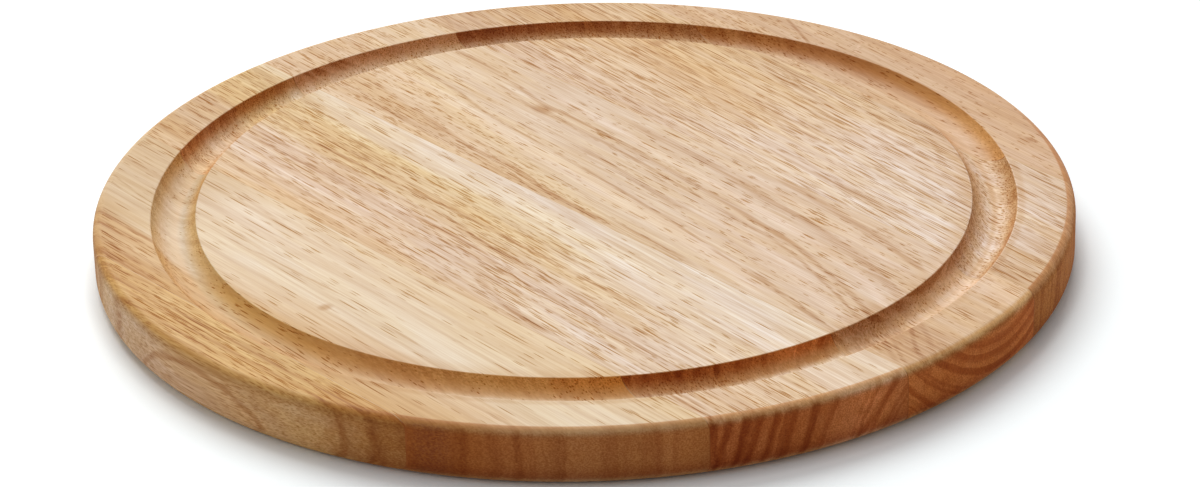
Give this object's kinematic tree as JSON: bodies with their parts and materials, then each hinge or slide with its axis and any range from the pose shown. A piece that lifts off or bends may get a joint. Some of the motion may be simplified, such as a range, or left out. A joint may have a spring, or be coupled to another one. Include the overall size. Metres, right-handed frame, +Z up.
{
  "type": "wooden steak plate",
  "caption": "Round edge-glued wooden steak plate with rounded edges and a juice groove cut round its flat serving face.",
  "frame": {"origin": "middle of the flat underside", "axes": "+Z up through the middle of the serving face, +X along the glue joints and so nearly along the grain, +Y across the staves"},
  "size_m": [0.25, 0.25, 0.015],
  "materials": {
    "wood_1": "sanded and oiled, satin",
    "wood_2": "sanded and oiled, satin",
    "wood_3": "sanded and oiled, satin",
    "wood_4": "sanded and oiled, satin",
    "wood_5": "sanded and oiled, satin",
    "wood_6": "sanded and oiled, satin",
    "glue": "cured wood glue"
  },
  "bodies": {
    "root": {"stave_1": "wood_1", "stave_2": "wood_2", "stave_3": "wood_3", "stave_4": "wood_4", "stave_5": "wood_5", "stave_6": "wood_6", "glue_line_1": "glue", "glue_line_2": "glue", "glue_line_3": "glue", "glue_line_4": "glue", "glue_line_5": "glue"}
  },
  "joints": []
}
